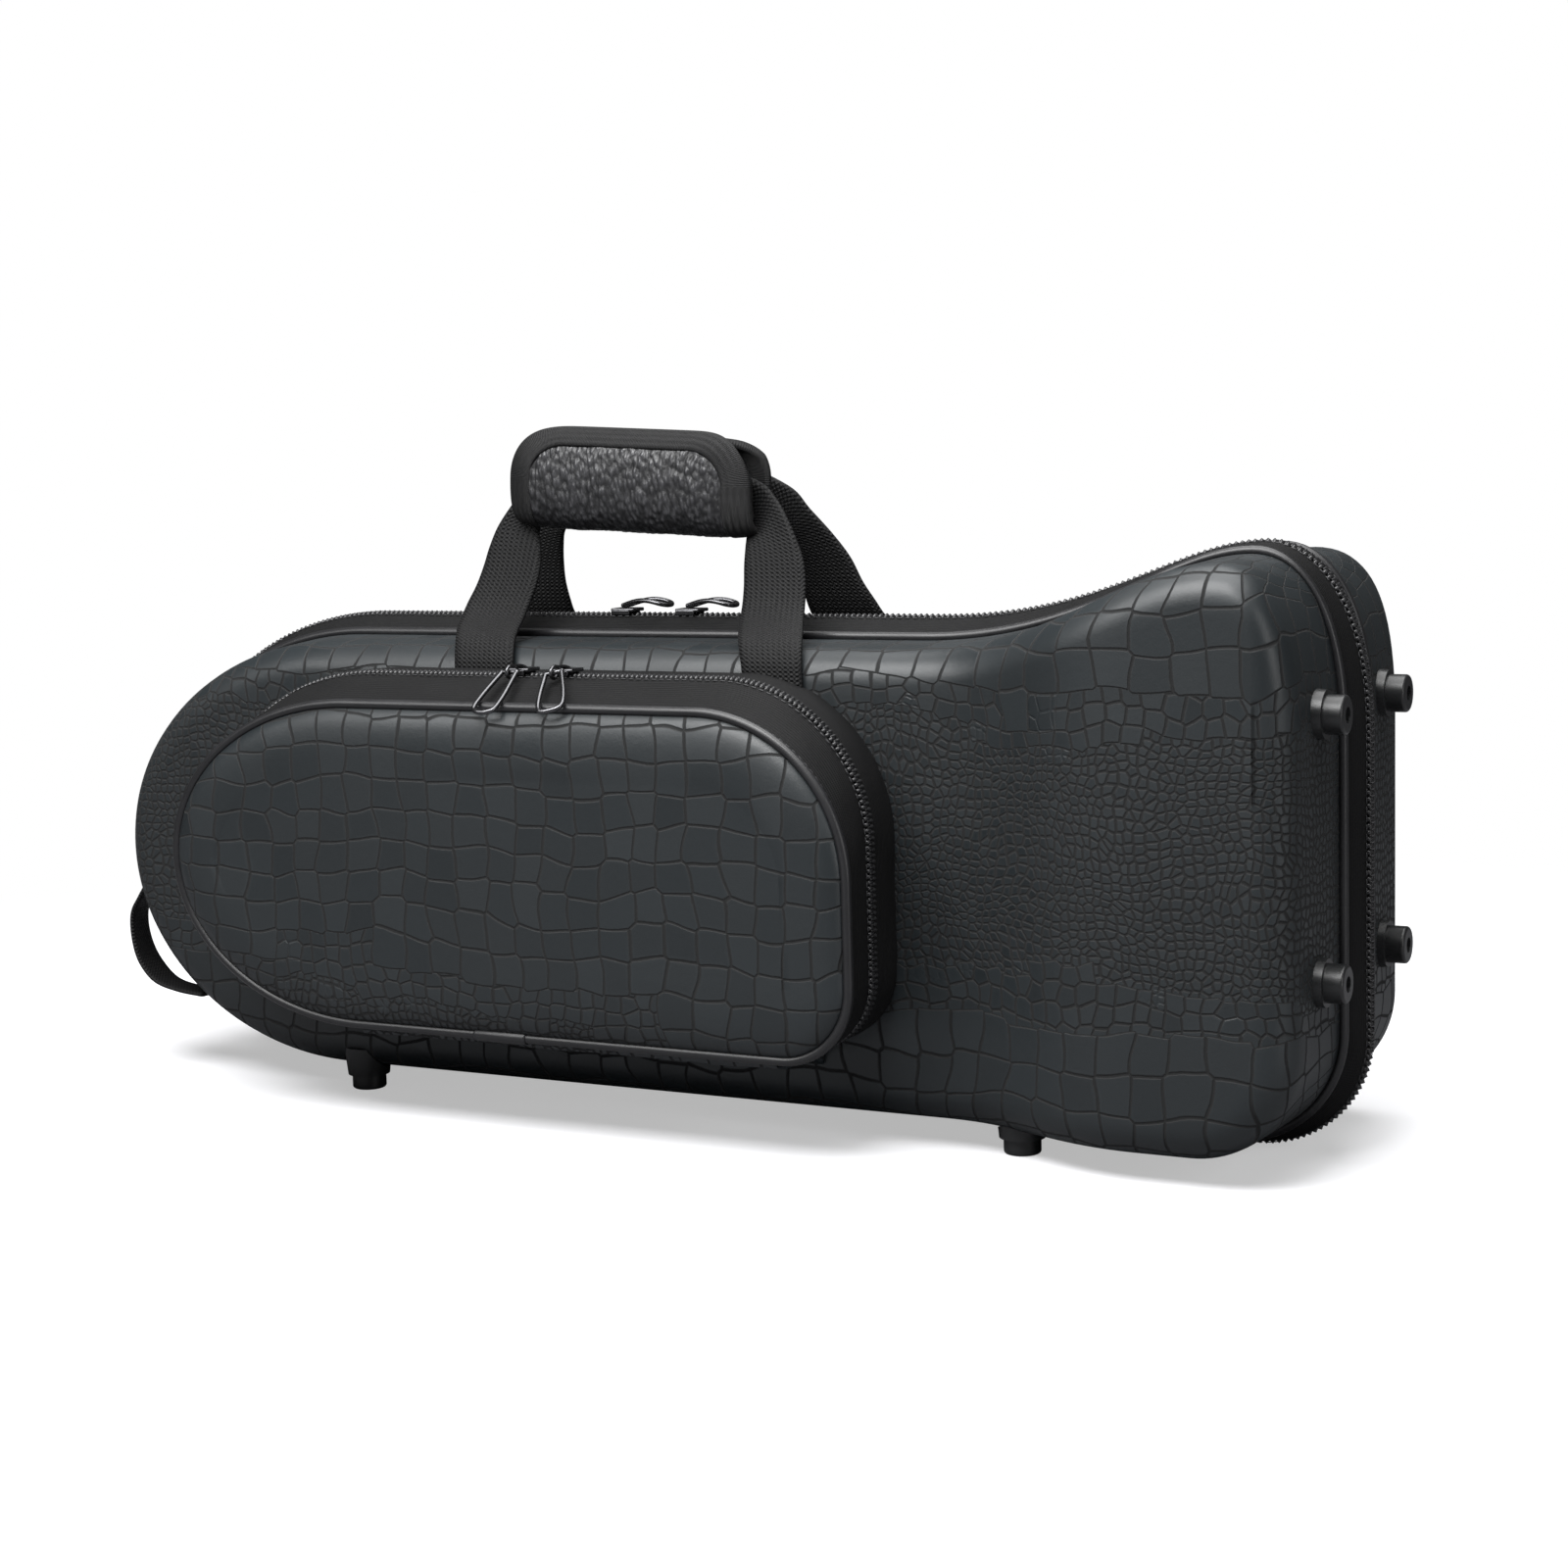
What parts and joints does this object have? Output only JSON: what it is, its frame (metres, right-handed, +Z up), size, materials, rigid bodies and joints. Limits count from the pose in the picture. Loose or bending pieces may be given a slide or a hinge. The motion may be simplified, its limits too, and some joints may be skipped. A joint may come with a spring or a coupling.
{
  "type": "trumpet case",
  "caption": "Zipped semi-hard trumpet case with embossed leatherette shells, an outside pocket, a webbing handle and rubber studs, opening on a bottom hinge.",
  "frame": {"origin": "on the floor under the middle of the whole case", "axes": "+X along the case to the bell end, -Y to the pocket side, +Z up"},
  "size_m": [0.5658, 0.179, 0.2845],
  "materials": {
    "leatherette": "satin, embossed",
    "plush_foam": "matte",
    "tray_plastic": "matte",
    "band_nylon": "ribbed",
    "zip_plastic": "satin",
    "piping_vinyl": "satin",
    "rubber": "satin",
    "screw_steel": "satin",
    "webbing": "ribbed",
    "wrap_leather": "pebbled",
    "black_nickel": "gloss"
  },
  "bodies": {
    "root": {"back_shell": "leatherette", "back_tail_foam": "plush_foam", "back_tube_foam": "plush_foam", "back_valve_foam": "plush_foam", "back_throat_foam": "plush_foam", "back_bell_foam": "plush_foam", "back_end_foam": "plush_foam", "accessory_tray": "tray_plastic", "mouthpiece_holder": "tray_plastic", "back_band": "band_nylon", "back_zip": "zip_plastic", "back_piping": "piping_vinyl", "back_hinge_leaf": "band_nylon", "back_feet": "rubber", "back_bumpers": "rubber", "back_screws": "screw_steel", "back_strap_ends": "webbing"},
    "lid": {"front_shell": "leatherette", "front_tail_foam": "plush_foam", "front_tube_foam": "plush_foam", "front_valve_foam": "plush_foam", "front_throat_foam": "plush_foam", "front_bell_foam": "plush_foam", "front_end_foam": "plush_foam", "front_band": "band_nylon", "front_zip": "zip_plastic", "front_piping": "piping_vinyl", "front_hinge_leaf": "band_nylon", "front_feet": "rubber", "front_bumpers": "rubber", "front_screws": "screw_steel", "front_strap_ends": "webbing", "tail_loop": "webbing", "pocket_base_band": "band_nylon", "pocket_base_zip": "zip_plastic", "pocket_hinge_strip": "leatherette"},
    "pocket_cover_body": {"pocket_cover": "leatherette", "pocket_cover_band": "band_nylon", "pocket_cover_zip": "zip_plastic", "pocket_piping": "piping_vinyl", "piping_sleeve": "piping_vinyl"},
    "front_handle": {"front_strap": "webbing", "handle_wrap": "wrap_leather"},
    "wrap_flap_body": {"wrap_flap": "wrap_leather", "flap_binding": "band_nylon"},
    "back_handle": {"back_strap": "webbing"},
    "main_slider_left_body": {"main_slider_left": "black_nickel"},
    "main_pull_left_body": {"main_pull_left": "black_nickel"},
    "pocket_slider_left_body": {"pocket_slider_left": "black_nickel"},
    "pocket_pull_left_body": {"pocket_pull_left": "black_nickel"},
    "main_slider_right_body": {"main_slider_right": "black_nickel"},
    "main_pull_right_body": {"main_pull_right": "black_nickel"},
    "pocket_slider_right_body": {"pocket_slider_right": "black_nickel"},
    "pocket_pull_right_body": {"pocket_pull_right": "black_nickel"}
  },
  "joints": [
    {"name": "lid_hinge", "type": "hinge", "parent": "root", "child": "lid", "pos_m": [0.0315, 0.01452, 0.0014], "axis": [1, 0, 0], "range_deg": [0, 120]},
    {"name": "pocket_hinge", "type": "hinge", "parent": "lid", "child": "pocket_cover_body", "pos_m": [-0.0205, -0.05848, 0.0408], "axis": [1, 0, 0], "range_deg": [0, 80]},
    {"name": "front_handle_swing", "type": "hinge", "parent": "lid", "child": "front_handle", "pos_m": [-0.0265, -0.00848, 0.199], "axis": [1, 0, 0], "range_deg": [0, 60]},
    {"name": "wrap_flap_hinge", "type": "hinge", "parent": "front_handle", "child": "wrap_flap_body", "pos_m": [-0.02325, -0.01288, 0.24602], "axis": [0.9984, 0, -0.0558], "range_deg": [0, 70]},
    {"name": "back_handle_swing", "type": "hinge", "parent": "root", "child": "back_handle", "pos_m": [-0.0215, 0.03752, 0.199], "axis": [1, 0, 0], "range_deg": [-75, 0]},
    {"name": "main_slider_left_slide", "type": "slide", "parent": "root", "child": "main_slider_left_body", "axis": [1, 0, 0], "range_m": [-0.09, 0]},
    {"name": "main_pull_left_swing", "type": "hinge", "parent": "main_slider_left_body", "child": "main_pull_left_body", "pos_m": [-0.0385, 0.01452, 0.20735], "axis": [0, -1, 0], "range_deg": [0, 100]},
    {"name": "main_slider_right_slide", "type": "slide", "parent": "root", "child": "main_slider_right_body", "axis": [1, 0, 0], "range_m": [0, 0.095]},
    {"name": "main_pull_right_swing", "type": "hinge", "parent": "main_slider_right_body", "child": "main_pull_right_body", "pos_m": [-0.0075, 0.01452, 0.20735], "axis": [0, -1, 0], "range_deg": [0, 100]},
    {"name": "pocket_slider_left_slide", "type": "slide", "parent": "pocket_cover_body", "child": "pocket_slider_left_body", "axis": [1, 0, 0], "range_m": [-0.064, 0]},
    {"name": "pocket_pull_left_swing", "type": "hinge", "parent": "pocket_slider_left_body", "child": "pocket_pull_left_body", "pos_m": [-0.045, -0.06798, 0.18615], "axis": [-1, 0, 0], "range_deg": [0, 40]},
    {"name": "pocket_slider_right_slide", "type": "slide", "parent": "pocket_cover_body", "child": "pocket_slider_right_body", "axis": [1, 0, 0], "range_m": [0, 0.062]},
    {"name": "pocket_pull_right_swing", "type": "hinge", "parent": "pocket_slider_right_body", "child": "pocket_pull_right_body", "pos_m": [-0.0245, -0.06798, 0.18615], "axis": [-1, 0, 0], "range_deg": [0, 40]}
  ]
}
